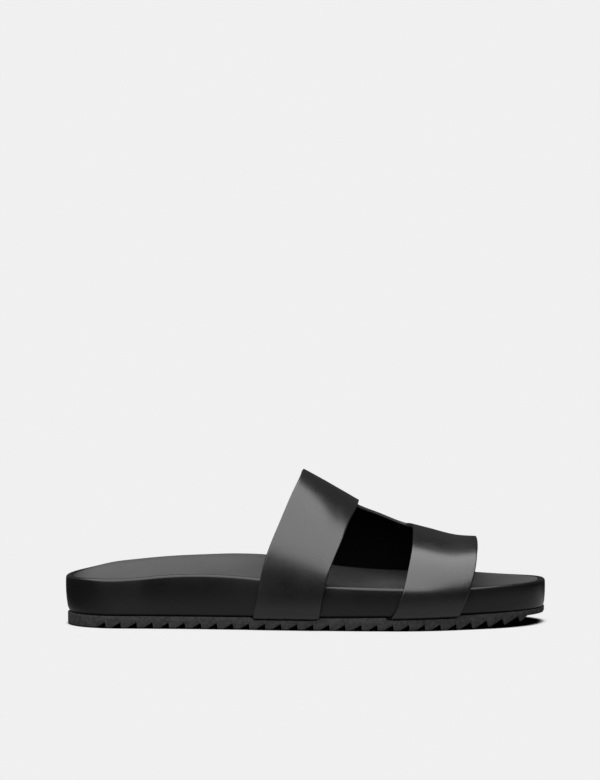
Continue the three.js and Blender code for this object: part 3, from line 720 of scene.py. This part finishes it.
class SANDAL_OT_outsole(bpy.types.Operator):
    """Ribbed rubber outsole"""

    bl_idname = "sandal.outsole"
    bl_label = "Outsole"

    SHARP = math.radians(40)
    CHAMFER = 0.8 * MM
    CORNER = 0.35 * MM  # rounding of the notches' corners
    TOP_ROUND = 0.3 * MM
    ROUND_STEPS = 3
    LONGEST_STEP = 1.6 * MM
    STATIONS = (14, 1, 24)
    RIB_GROWTH = 0.3 * MM  # rise of the underside over which the notches grow
    RIB_FOLLOW = 0.7  # share of the toe spring that the tops of the notches follow
    RAMP = 0.6 * MM  # run of the recess's ends

    def corners(self):
        """The underside from heel to toe, as sharp corners of share and height."""
        size = sizes()
        spots = [(0.0, 0.0)]
        for k in range(size.rib_count):
            front = (size.first_rib + k * size.rib_pitch) / LENGTH
            grown = clamp(underside_at(front) / self.RIB_GROWTH)
            back = front - mix(size.rib_width, size.toe_rib_width, grown) / LENGTH
            tip = front - mix(size.rib_lean, size.toe_rib_lean, grown) / LENGTH
            depth = mix(size.rib_depth, size.toe_rib_depth, grown)
            top = underside_at(front) * self.RIB_FOLLOW + depth
            spots += [(back, underside_at(back)), (tip, top), (front, underside_at(front))]
        start = size.toe_lift_start / LENGTH
        lifted = start + size.toe_lift_run / LENGTH
        return spots + [
            (start, underside_at(start)), (lifted, size.toe_lift), (1.0, size.toe_lift)
        ]

    def profile(self):
        """The same line with rounded corners, and close enough steps for the outline."""
        spots = [Vector((at * LENGTH, height)) for at, height in self.corners()]
        line = [spots[0]]
        for before, corner, after in zip(spots, spots[1:], spots[2:]):
            reach = min(self.CORNER, (before - corner).length / 3, (after - corner).length / 3)
            start = corner + (before - corner).normalized() * reach
            end = corner + (after - corner).normalized() * reach
            for k in range(self.ROUND_STEPS + 1):
                share = k / self.ROUND_STEPS
                line.append(start.lerp(corner, share).lerp(corner.lerp(end, share), share))
        line.append(spots[-1])
        for at in smooth_stations(*self.STATIONS):
            x = at * LENGTH
            k = max(i for i in range(len(line) - 1) if line[i].x <= x + self.CORNER)
            if line[k].x + self.CORNER < x < line[k + 1].x - self.CORNER:
                share = (x - line[k].x) / (line[k + 1].x - line[k].x)
                line.insert(k + 1, line[k].lerp(line[k + 1], share))
        closer = [line[0]]
        for spot in line[1:]:
            steps = math.ceil((spot.x - closer[-1].x) / self.LONGEST_STEP)
            start = closer[-1]
            closer += [start.lerp(spot, k / steps) for k in range(1, steps)] if steps > 1 else []
            closer.append(spot)
        return [(spot.x / LENGTH, spot.y) for spot in closer]

    def recess(self, at, side):
        """How far the outsole's edge dips where a band is tucked in."""
        size = sizes()
        feet = [EDGES[name][0] for name in EDGE_NAMES]
        ramp = self.RAMP / LENGTH
        if side == LATERAL:
            spans = [(feet[0], feet[1]), (feet[2], feet[3])]
        else:
            shift = size.medial_advance / LENGTH
            spans = [(feet[0] + shift, feet[3] + shift)]
        inside = max(min(at - low, high - at) for low, high in spans)
        return (size.margin_wall + GAP) * clamp(inside / ramp)

    def execute(self, context):
        size = sizes()
        profile = self.profile()
        loop = Loop([at for at, _ in profile])
        underside = dict(profile)
        bm = bmesh.new()

        def setback(spot):
            return size.sole_setback * UNDERCUT_AT(spot.at)

        def ring(inset, height):
            def place(station, side):
                spot = loop.spot(station, side)
                return spot.inside(setback(spot) + inset, height(spot))
            return place

        def over_underside(rise):
            return lambda spot: underside[spot.at] + rise

        def under_edge(drop):
            return lambda spot: sole_top_at(spot.at) - self.recess(spot.at, spot.side) - drop

        def chamfered(spot):
            return setback(spot) + self.CHAMFER

        def inner_edge(spot):
            return setback(spot) + inner

        inner = size.margin + 3 * GAP
        edges = place_lid(bm, loop, FLAT_STEPS, chamfered, lambda at, across: underside[at])
        for k in range(1, self.ROUND_STEPS + 1):
            turn = k / self.ROUND_STEPS * RIGHT_ANGLE
            inset = self.CHAMFER * (1 - math.sin(turn))
            rise = self.CHAMFER * (1 - math.cos(turn))
            edges = extrude_ring(bm, edges, ring(inset, over_underside(rise)))
        for k in range(self.ROUND_STEPS + 1):
            turn = k / self.ROUND_STEPS * RIGHT_ANGLE
            inset = self.TOP_ROUND * (1 - math.cos(turn))
            drop = self.TOP_ROUND * (1 - math.sin(turn))
            edges = extrude_ring(bm, edges, ring(inset, under_edge(drop)))
        edges = extrude_ring(bm, edges, ring(inner, under_edge(0)))
        extrude_ring(bm, edges, ring(inner, lambda spot: sole_top_at(spot.at)))
        place_lid(bm, loop, FLAT_STEPS, inner_edge, lambda at, across: sole_top_at(at))
        material = rubber("Outsole rubber", colours().rubber)
        finish_piece(
            "outsole_body", bm, [material], ["outsole"], self.SHARP
        )
        return {"FINISHED"}


class SANDAL_OT_footbed(bpy.types.Operator):
    """Leather-covered footbed with its rounded rim"""

    bl_idname = "sandal.footbed"
    bl_label = "Footbed"

    SEAT_STEPS = 16

    def execute(self, context):
        size = sizes()
        loop = Loop(smooth_stations(*FINE_STATIONS))
        sections = {
            (side, k): side_section(at, side)
            for side in (LATERAL, MEDIAL)
            for k, at in enumerate(loop.stations)
        }
        sunk = size.insole_thickness + GAP
        bm = bmesh.new()

        def seat(at, across):
            return insole_height(at, across) - sunk

        def rim_edge(station, side):
            spot = loop.spot(station, side)
            across = 0 if side == LATERAL else 1
            return spot.inside(size.rim_width, insole_height(spot.at, across))

        def row_place(row):
            def place(station, side):
                inset, rise, _, _ = sections[side, station][row]
                spot = loop.spot(station, side)
                return spot.inside(inset, footbed_bottom_at(spot.at) + rise)
            return place

        edges = place_lid(bm, loop, self.SEAT_STEPS, lambda spot: size.rim_width, seat)
        edges = extrude_ring(bm, edges, rim_edge)
        for row in reversed(range(len(sections[LATERAL, 0]))):
            edges = extrude_ring(bm, edges, row_place(row))

        def bottom_inset(spot):
            return side_section(spot.at, spot.side)[0][0]

        place_lid(bm, loop, FLAT_STEPS, bottom_inset, lambda at, across: footbed_bottom_at(at))
        cover = leather("Footbed leather", colours().footbed)
        finish_piece("footbed_cover", bm, [cover], ["footbed"])
        return {"FINISHED"}


class SANDAL_OT_insole(bpy.types.Operator):
    """Leather sock inside the rim"""

    bl_idname = "sandal.insole"
    bl_label = "Insole"

    EDGE_ROUND = 0.35 * MM
    ROUND_STEPS = 2
    SHARP = math.radians(50)
    ACROSS_STEPS = 24
    SHADED_FROM = 0.42  # shares of the length between which the painted shade sets in
    SHADED_TO = 0.54
    SHADED_ACROSS = 0.75  # how far across it reaches
    SHADE = 0.77
    TOE_SHADE = 0.1  # what is left of it at the toe
    TOE_FROM = 0.7
    TOE_RUN = 0.15

    def shade(self, at, across):
        """Painted shade on the sock: darker towards the outer edge from the instep on."""
        start = ease(clamp((at - self.SHADED_FROM) / (self.SHADED_TO - self.SHADED_FROM)))
        fade = mix(1.0, self.TOE_SHADE, clamp((at - self.TOE_FROM) / self.TOE_RUN))
        edge = clamp((self.SHADED_ACROSS - across) / self.SHADED_ACROSS)
        return 1 - self.SHADE * start * fade * edge

    def execute(self, context):
        size = sizes()
        loop = Loop(smooth_stations(*FINE_STATIONS))
        bm = bmesh.new()

        def underneath(at, across):
            return insole_height(at, across) - size.insole_thickness

        edge = size.rim_width + GAP
        place_lid(bm, loop, self.ACROSS_STEPS, lambda spot: edge, underneath)
        out = bmesh.ops.extrude_face_region(bm, geom=bm.faces[:])["geom"]
        for vert in (item for item in out if isinstance(item, bmesh.types.BMVert)):
            vert.co.z += size.insole_thickness
        # painted shade, kept in a vertex attribute that darkens the sock's base colour
        shade = bm.verts.layers.float.new("shade")
        station_key, across_key = keys_of(bm)
        for vert in bm.verts:
            vert[shade] = self.shade(loop.stations[vert[station_key]], vert[across_key])
        bmesh.ops.recalc_face_normals(bm, faces=bm.faces)
        bevel_sharp(bm, self.EDGE_ROUND, self.ROUND_STEPS, self.SHARP)
        sock = leather("Insole leather", colours().insole)
        tree = sock.node_tree
        painted = tree.nodes.new("ShaderNodeAttribute")
        painted.attribute_name = "shade"
        dim(tree, tree.nodes["Principled BSDF"], painted.outputs["Fac"])
        finish_piece("insole_sock", bm, [sock], ["insole"])
        return {"FINISHED"}


class Girth:
    """Rows round the foot from the lateral margin over the crest to the medial margin."""

    LATERAL_STEPS = 30
    MEDIAL_STEPS = 30
    TOP = 90  # degrees round the arch, where the crest is
    PANEL_EDGE_REAR = 96
    PANEL_EDGE_FRONT = 107
    END = 180
    LIFT_START = 0.35
    SETTLE_ROUNDS = 24
    SETTLE_SHARE = 0.6
    TUCKS = (1.0, 0.7, 0.4, 0.15)
    LIFT_ROW = 2  # row of the side where the rear band begins to lift

    def __init__(self):
        self.rows = []
        self.add_side(LATERAL)
        for k in range(1, self.LATERAL_STEPS + 1):
            self.rows.append({"before": k / self.LATERAL_STEPS})
        self.panel_row = len(self.rows) - 1
        for k in range(1, self.MEDIAL_STEPS):
            self.rows.append({"after": k / self.MEDIAL_STEPS})
        self.add_side(MEDIAL)

    def add_side(self, side):
        rows = [{"side": side, "tuck": tuck} for tuck in self.TUCKS]
        rows += [{"side": side, "against": k} for k in range(BAND_ROWS)]
        self.rows += rows if side == LATERAL else rows[::-1]

    def beside_footbed(self, at, row):
        """A point on the inner face against the footbed's side or under it."""
        section = side_section(at, row["side"])
        if "tuck" in row:
            spot = (mix(section[0][0], sizes().margin, row["tuck"]), 0, 0, -1)
        else:
            spot = section[row["against"]]
        inset, rise, out, up = spot
        flat = outline(at, row["side"]) + outward_at(at, row["side"]) * (GAP * out - inset)
        return Vector((flat.x, flat.y, footbed_bottom_at(at) + rise + GAP * up))

    def arch_degrees(self, row, forward):
        """A row's place round the arch; forward goes from the rear band to the front one."""
        edge = mix(self.PANEL_EDGE_REAR, self.PANEL_EDGE_FRONT, ease(clamp(forward)))
        return edge * row["before"] if "before" in row else mix(edge, self.END, row["after"])

    def arch_shares(self, at, degrees):
        """Shares of the way out from the crest to the footbed, and up from it to the crest."""
        lean = math.radians(LEAN_AT(at))
        turn = lean + math.radians(degrees) * (1 - lean / RIGHT_ANGLE)
        power = 2 / FULLNESS_AT(at)
        foot_up = math.sin(lean) ** power
        out = (abs(math.cos(turn)) / math.cos(lean)) ** power
        return out, (math.sin(turn) ** power - foot_up) / (1 - foot_up)

    def inner_face(self, at, row, forward):
        """A point on the inner face."""
        if "side" in row:
            return self.beside_footbed(at, row)
        degrees = self.arch_degrees(row, forward)
        out, up = self.arch_shares(at, degrees)
        side = LATERAL if degrees < self.TOP else MEDIAL
        foot = self.beside_footbed(at, {"side": side, "against": BAND_ROWS - 1})
        return Vector((
            mix(length_x(at), foot.x, out),
            mix(Across.axis + Across.width * RIDGE_AT(at), foot.y, out),
            mix(foot.z, sizes().instep_height * CREST_AT(at), up),
        ))

    def medial_share(self, at, row, forward):
        """How far a row lies down the medial side, as the table of shifts counts it."""
        if row.get("side") == LATERAL:
            return 0.0
        if "tuck" in row:
            return 2.0
        if "side" in row:
            return 2 - row["against"] / (BAND_ROWS - 1)
        degrees = self.arch_degrees(row, forward)
        return self.arch_shares(at, degrees)[0] if degrees > self.TOP else 0.0

    def crossing(self, edge, row, forward):
        """Where one of the four cut edges crosses a row, as a share of the length."""
        size = sizes()
        tucked = "tuck" in row
        lowest = EDGES["at"][0]
        at = EDGES[EDGE_NAMES[edge]][0]
        for _ in range(self.SETTLE_ROUNDS):
            top = (self.inner_face(at, row, forward).z + size.wall) / size.instep_height
            shift = size.medial_advance * SHIFT_AT[edge](self.medial_share(at, row, forward))
            target = EDGE_AT[edge](lowest if tucked else top) + shift / LENGTH
            at = mix(at, target, self.SETTLE_SHARE)
        return at

    def lift(self, row):
        """How far the rear band is lifted by the panel that lies under it."""
        if "side" not in row:
            share = (row.get("before", 1.0) - self.LIFT_START) / (1 - self.LIFT_START)
            return sizes().wall * ease(clamp(share))
        if row["side"] == LATERAL or "tuck" in row:
            return 0.0
        share = (row["against"] - self.LIFT_ROW) / (BAND_ROWS - 1 - self.LIFT_ROW)
        return sizes().wall * ease(clamp(share))

    def wall(self, row):
        size = sizes()
        if "side" not in row:
            return size.wall
        if "tuck" in row:
            return size.margin_wall
        return mix(size.margin_wall, size.wall, clamp(row["against"] / BEND_STEPS))


class SANDAL_OT_bands(bpy.types.Operator):
    """The two instep bands, the rear one over the front one's panel"""

    bl_idname = "sandal.bands"
    bl_label = "Bands"

    REAR_COLUMNS = 30
    PANEL_COLUMNS = 22
    FRONT_COLUMNS = 28
    HIDDEN_COLUMNS = 12
    LAYER_SHARE = 2 / 3
    EDGE_STEPS = 4
    ROUNDED_FROM = math.radians(55)
    SHARP = math.radians(40)
    CLEARANCE = 0.06 * MM
    SKIVE = 1.1 * MM  # leather pared away under the panel's cut edge
    LEATHER, DYED_EDGE, LINING, RAW_EDGE = range(4)

    def sheet(self, girth, columns, offset, skip, skived=lambda i, j: False):
        """Grid of (share, forward) columns on the inner face, raised to offset(row)."""
        crossings = [
            [girth.crossing(k, row, 0 if k < 2 else 1) for k in range(len(EDGE_NAMES))]
            for row in girth.rows
        ]
        grid = []
        for row, edges in zip(girth.rows, crossings):
            line = []
            for zone, share in columns:
                at = mix(edges[zone], edges[zone + 1], share)
                forward = share if zone == 1 else zone / 2
                line.append(girth.inner_face(at, row, forward))
            grid.append(line)
        normals = []
        for j, line in enumerate(grid):
            above = grid[min(j + 1, len(grid) - 1)]
            below = grid[max(j - 1, 0)]
            row_normals = []
            for i in range(len(line)):
                along = line[min(i + 1, len(line) - 1)] - line[max(i - 1, 0)]
                row_normals.append(along.cross(above[i] - below[i]).normalized())
            normals.append(row_normals)

        bm = bmesh.new()
        spot_i = bm.verts.layers.int.new("column")
        spot_j = bm.verts.layers.int.new("row")
        last_i = len(columns) - 1
        last_j = len(grid) - 1
        made = bmesh.ops.create_grid(bm, x_segments=last_i, y_segments=last_j, size=1)["verts"]
        for vert in made:
            vert[spot_i] = round((vert.co.x + 1) / 2 * last_i)
            vert[spot_j] = round((vert.co.y + 1) / 2 * last_j)
        unwanted = []
        for face in bm.faces:
            i = min(vert[spot_i] for vert in face.verts)
            j = min(vert[spot_j] for vert in face.verts)
            if skip(i, j):
                unwanted.append(face)
        bmesh.ops.delete(bm, geom=unwanted, context="FACES")
        out = bmesh.ops.extrude_face_region(bm, geom=bm.faces[:])["geom"]
        outer = {item for item in out if isinstance(item, bmesh.types.BMVert)}
        for vert in bm.verts:
            i, j = vert[spot_i], vert[spot_j]
            rise = offset(girth.rows[j])
            if vert in outer:
                rise += girth.wall(girth.rows[j])
            elif skived(i, j):
                rise += self.SKIVE
            vert.co = grid[j][i] + normals[j][i] * rise
        bmesh.ops.recalc_face_normals(bm, faces=bm.faces)
        for face in bm.faces:
            corners = [vert in outer for vert in face.verts]
            if all(corners):
                face.material_index = self.LEATHER
            elif not any(corners):
                face.material_index = self.LINING
            elif all(skived(vert[spot_i], vert[spot_j]) for vert in face.verts):
                face.material_index = self.RAW_EDGE
            else:
                face.material_index = self.DYED_EDGE
        bevel_sharp(bm, sizes().edge_round, self.EDGE_STEPS, self.ROUNDED_FROM)
        return bm

    def execute(self, context):
        girth = Girth()
        top = leather("Band leather", colours().band)
        tones = colours()
        plain = {
            "Dyed edge": tones.band_edge, "Lining": tones.lining, "Raw edge": tones.raw_edge,
        }
        leathers = [top] + [
            shader_material(name, base, FINISHES[name])[0] for name, base in plain.items()
        ]
        rear = [(0, k / self.REAR_COLUMNS) for k in range(self.REAR_COLUMNS)] + [(0, 1.0)]
        bm = self.sheet(
            girth, rear, lambda row: girth.lift(row) + self.CLEARANCE, lambda i, j: False
        )
        finish_piece("rear_band", bm, leathers, ["upper"], self.SHARP)

        hidden = [
            (0, mix(1 - self.LAYER_SHARE, 1.0, k / self.HIDDEN_COLUMNS))
            for k in range(self.HIDDEN_COLUMNS)
        ]
        panel = [(1, k / self.PANEL_COLUMNS) for k in range(self.PANEL_COLUMNS)]
        front = [(2, k / self.FRONT_COLUMNS) for k in range(self.FRONT_COLUMNS + 1)]
        window_end = len(hidden) + len(panel)

        def in_window(i, j):
            return i < window_end and j < girth.panel_row

        def on_panel_edge(i, j):
            return i <= window_end and j == girth.panel_row

        bm = self.sheet(
            girth, hidden + panel + front, lambda row: 0.0, in_window, on_panel_edge
        )
        finish_piece("front_band", bm, leathers, ["upper"], self.SHARP)
        return {"FINISHED"}


class SANDAL_OT_stage(bpy.types.Operator):
    """Pale floor, soft studio light and the camera"""

    bl_idname = "sandal.stage"
    bl_label = "Stage"

    FRAME_WIDTH = 600  # pixels of the photograph
    FRAME_HEIGHT = 780
    PHOTO_LENGTH = 479.5  # pixels from heel to toe
    PIXEL = 286 * MM / PHOTO_LENGTH
    SANDAL_COLUMN = 305.7  # pixel where the middle of the sandal stands
    FLOOR_ROW = 622.3  # pixel row of the floor under the middle of the sandal
    ELEVATION = math.radians(6.5)
    DISTANCE = 5.0
    SENSOR = 36.0
    SIGHT = 50.0
    FLOOR_REACH = 12.0
    SHADE_REACH = (0.1, 0.13, 9 * MM, 17 * MM)  # reach of the contact shade, by place
    SHADE_RANGE = (0.45, 0.62)
    SHADE_SAMPLES = 16
    BOUNCE = (0.07, 0.15, 0.34, 0.02)  # light from the floor, by distance
    BOUNCE_MIDDLE = 0.065
    BOUNCE_LENGTH = 0.11  # how much further it reaches along the sandal
    ROOM = (0.05, 0.05, 0.05)
    PANEL_TILT = math.radians(68)
    PANEL_DISTANCE = 1.2
    PANEL_WIDTH = 2.6
    PANEL_DEPTH = 3.1
    PANEL_POWER = 72
    PANEL_MIDDLE = Vector((-0.45, 0, 0.04))

    def camera(self, context):
        """A long lens from the outer side, a little above the floor."""
        data = bpy.data.cameras.new("Camera")
        data.sensor_width = self.SENSOR
        data.lens = self.SENSOR * self.DISTANCE / (self.FRAME_HEIGHT * self.PIXEL)
        data.clip_end = self.SIGHT
        up = (self.FLOOR_ROW - self.FRAME_HEIGHT / 2) * self.PIXEL
        right = (self.FRAME_WIDTH / 2 - self.SANDAL_COLUMN) * self.PIXEL
        pitch = self.ELEVATION - math.atan(up / self.DISTANCE)
        back = Vector((0, -math.cos(pitch), math.sin(pitch)))
        above = Vector((0, math.sin(pitch), math.cos(pitch)))
        camera = bpy.data.objects.new("Camera", data)
        camera.location = back * self.DISTANCE + above * up + Vector((right, 0, 0))
        camera.rotation_euler = (-back).to_track_quat("-Z", "Y").to_euler()
        context.scene.collection.objects.link(camera)
        context.scene.camera = camera

    def split(self, tree, output, seen, hidden):
        """Shows one shader to the camera and another to everything else."""
        path = tree.nodes.new("ShaderNodeLightPath")
        mixer = tree.nodes.new("ShaderNodeMixShader")
        tree.links.new(path.outputs["Is Camera Ray"], mixer.inputs["Fac"])
        tree.links.new(hidden.outputs[0], mixer.inputs[1])
        tree.links.new(seen.outputs[0], mixer.inputs[2])
        tree.links.new(mixer.outputs["Shader"], output.inputs["Surface"])

    def floor(self, context):
        """A wide pale floor that darkens where the sole meets it."""
        bm = bmesh.new()
        bmesh.ops.create_grid(bm, x_segments=1, y_segments=1, size=self.FLOOR_REACH)
        mesh = bpy.data.meshes.new("Floor")
        bm.to_mesh(mesh)
        bm.free()
        floor = bpy.data.objects.new("Floor", mesh)
        context.scene.collection.objects.link(floor)
        material = bpy.data.materials.new("Floor")
        material.use_nodes = True
        tree = material.node_tree
        tree.nodes.clear()
        output = tree.nodes.new("ShaderNodeOutputMaterial")
        seen = tree.nodes.new("ShaderNodeEmission")
        bounced = tree.nodes.new("ShaderNodeEmission")
        place = tree.nodes.new("ShaderNodeTexCoord")
        axes = tree.nodes.new("ShaderNodeSeparateXYZ")
        tree.links.new(place.outputs["Object"], axes.inputs["Vector"])
        along = math_node(tree, "SUBTRACT", axes.outputs["X"], self.BOUNCE_MIDDLE)
        along = math_node(tree, "ABSOLUTE", along, 0.0)
        along = math_node(tree, "SUBTRACT", along, self.BOUNCE_LENGTH)
        away = math_node(tree, "ABSOLUTE", axes.outputs["Y"], 0.0)
        away = math_node(tree, "MAXIMUM", away, along)
        tree.links.new(map_range(tree, away, self.BOUNCE), bounced.inputs["Strength"])
        shade = tree.nodes.new("ShaderNodeAmbientOcclusion")
        shade.samples = self.SHADE_SAMPLES
        reach = map_range(tree, axes.outputs["X"], self.SHADE_REACH)
        tree.links.new(reach, shade.inputs["Distance"])
        tones = ((0, 0, 0), colours().floor)
        tone = tone_ramp(tree, shade.outputs["AO"], self.SHADE_RANGE, tones)
        tree.links.new(tone, seen.inputs["Color"])
        self.split(tree, output, seen, bounced)
        mesh.materials.append(material)

    def world(self, context):
        """The backdrop's tone for the camera, and a dim room for the reflections."""
        world = bpy.data.worlds.new("Studio")
        context.scene.world = world
        world.use_nodes = True
        tree = world.node_tree
        tree.nodes.clear()
        output = tree.nodes.new("ShaderNodeOutputWorld")
        seen = tree.nodes.new("ShaderNodeBackground")
        seen.inputs["Color"].default_value = (*colours().floor, 1)
        room = tree.nodes.new("ShaderNodeBackground")
        room.inputs["Color"].default_value = (*self.ROOM, 1)
        self.split(tree, output, seen, room)

    def panel_light(self, context):
        """A soft panel overhead, tilted towards the camera's side."""
        data = bpy.data.lights.new("Top panel", "AREA")
        data.shape = "RECTANGLE"
        data.size = self.PANEL_WIDTH
        data.size_y = self.PANEL_DEPTH
        data.energy = self.PANEL_POWER
        lamp = bpy.data.objects.new("Top panel", data)
        out = Vector((0, -math.cos(self.PANEL_TILT), math.sin(self.PANEL_TILT)))
        lamp.location = out * self.PANEL_DISTANCE + self.PANEL_MIDDLE
        lamp.rotation_euler = out.to_track_quat("Z", "Y").to_euler()
        lamp.visible_camera = False
        context.scene.collection.objects.link(lamp)

    def execute(self, context):
        self.camera(context)
        self.floor(context)
        self.world(context)
        self.panel_light(context)
        context.scene.view_settings.view_transform = "Standard"
        return {"FINISHED"}


class SANDAL_PT_panel(bpy.types.Panel):
    """Lists the sandal's operators and sizes"""

    bl_idname = "SANDAL_PT_panel"
    bl_label = "Sandal"
    bl_space_type = "VIEW_3D"
    bl_region_type = "UI"
    bl_category = "Sandal"

    def draw(self, context):
        for piece in PIECES:
            self.layout.operator(piece.bl_idname)
        for settings in (sizes(), colours()):
            for name in settings.__annotations__:
                self.layout.prop(settings, name)


PIECES = (
    SANDAL_OT_outsole,
    SANDAL_OT_footbed,
    SANDAL_OT_insole,
    SANDAL_OT_bands,
    SANDAL_OT_stage,
)
CLASSES = (SandalSizes, SandalColours, *PIECES, SANDAL_PT_panel)


def register():
    for entry in CLASSES:
        bpy.utils.register_class(entry)
    bpy.types.Scene.sandal_sizes = bpy.props.PointerProperty(type=SandalSizes)
    bpy.types.Scene.sandal_colours = bpy.props.PointerProperty(type=SandalColours)


def unregister():
    del bpy.types.Scene.sandal_colours
    del bpy.types.Scene.sandal_sizes
    for entry in reversed(CLASSES):
        bpy.utils.unregister_class(entry)


def main():
    register()
    Across.width, Across.axis = fit_across()
    bpy.ops.sandal.outsole()
    bpy.ops.sandal.footbed()
    bpy.ops.sandal.insole()
    bpy.ops.sandal.bands()
    bpy.ops.sandal.stage()


if __name__ == "__main__":
    main()
